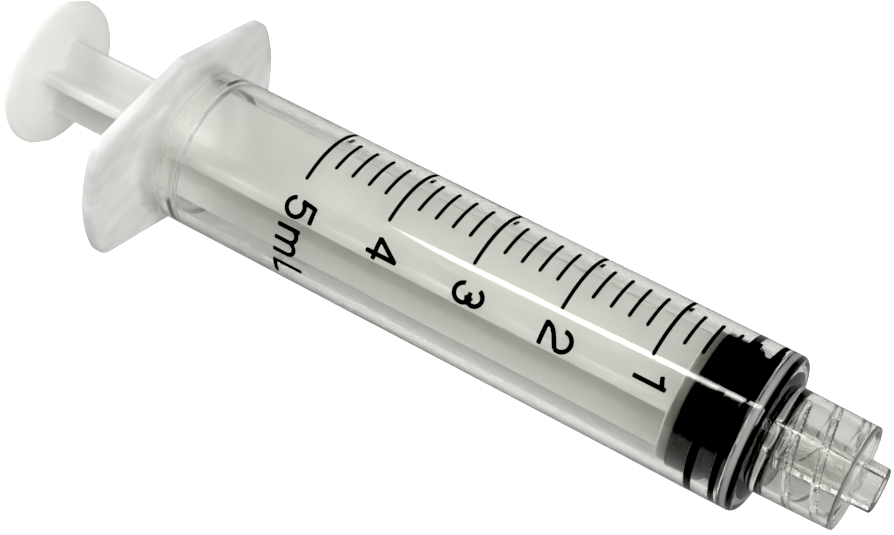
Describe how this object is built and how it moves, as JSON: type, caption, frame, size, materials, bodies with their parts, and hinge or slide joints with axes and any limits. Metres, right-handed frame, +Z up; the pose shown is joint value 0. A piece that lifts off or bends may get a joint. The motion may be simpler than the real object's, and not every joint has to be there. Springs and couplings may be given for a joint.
{
  "type": "luer-lock syringe",
  "caption": "Small disposable syringe: clear graduated barrel with finger flange and Luer-lock tip, black rubber stopper and a ribbed plunger rod with a thumb disc.",
  "frame": {"origin": "centre of the nozzle's end face, on the barrel axis", "axes": "+X along the barrel axis out of the nozzle, +Z up with one long side of the finger flange lying flat below"},
  "size_m": [0.0844, 0.0266, 0.0168],
  "materials": {
    "clear_polypropylene": "clear to slightly milky moulded plastic, glossy",
    "milky_polypropylene": "milky translucent moulded plastic, satin",
    "black_rubber": "smooth black rubber, glossy with silicone oil",
    "black_ink": "black screen-printed ink"
  },
  "bodies": {
    "barrel": {"barrel": "clear_polypropylene", "graduation_long": "black_ink", "graduation_short": "black_ink", "numeral_5": "black_ink", "unit_mL": "black_ink", "numeral_4": "black_ink", "numeral_3": "black_ink", "numeral_2": "black_ink", "numeral_1": "black_ink"},
    "stopper": {"stopper": "black_rubber"},
    "plunger": {"plunger_rod": "milky_polypropylene"}
  },
  "joints": [
    {"name": "plunger_slide", "type": "slide", "parent": "barrel", "child": "stopper", "axis": [-1, 0, 0], "range_m": [0, 0.0482]},
    {"name": "rod_swivel", "type": "hinge", "parent": "stopper", "child": "plunger", "pos_m": [-0.0135, 0, 0], "axis": [1, 0, 0], "continuous": true}
  ]
}
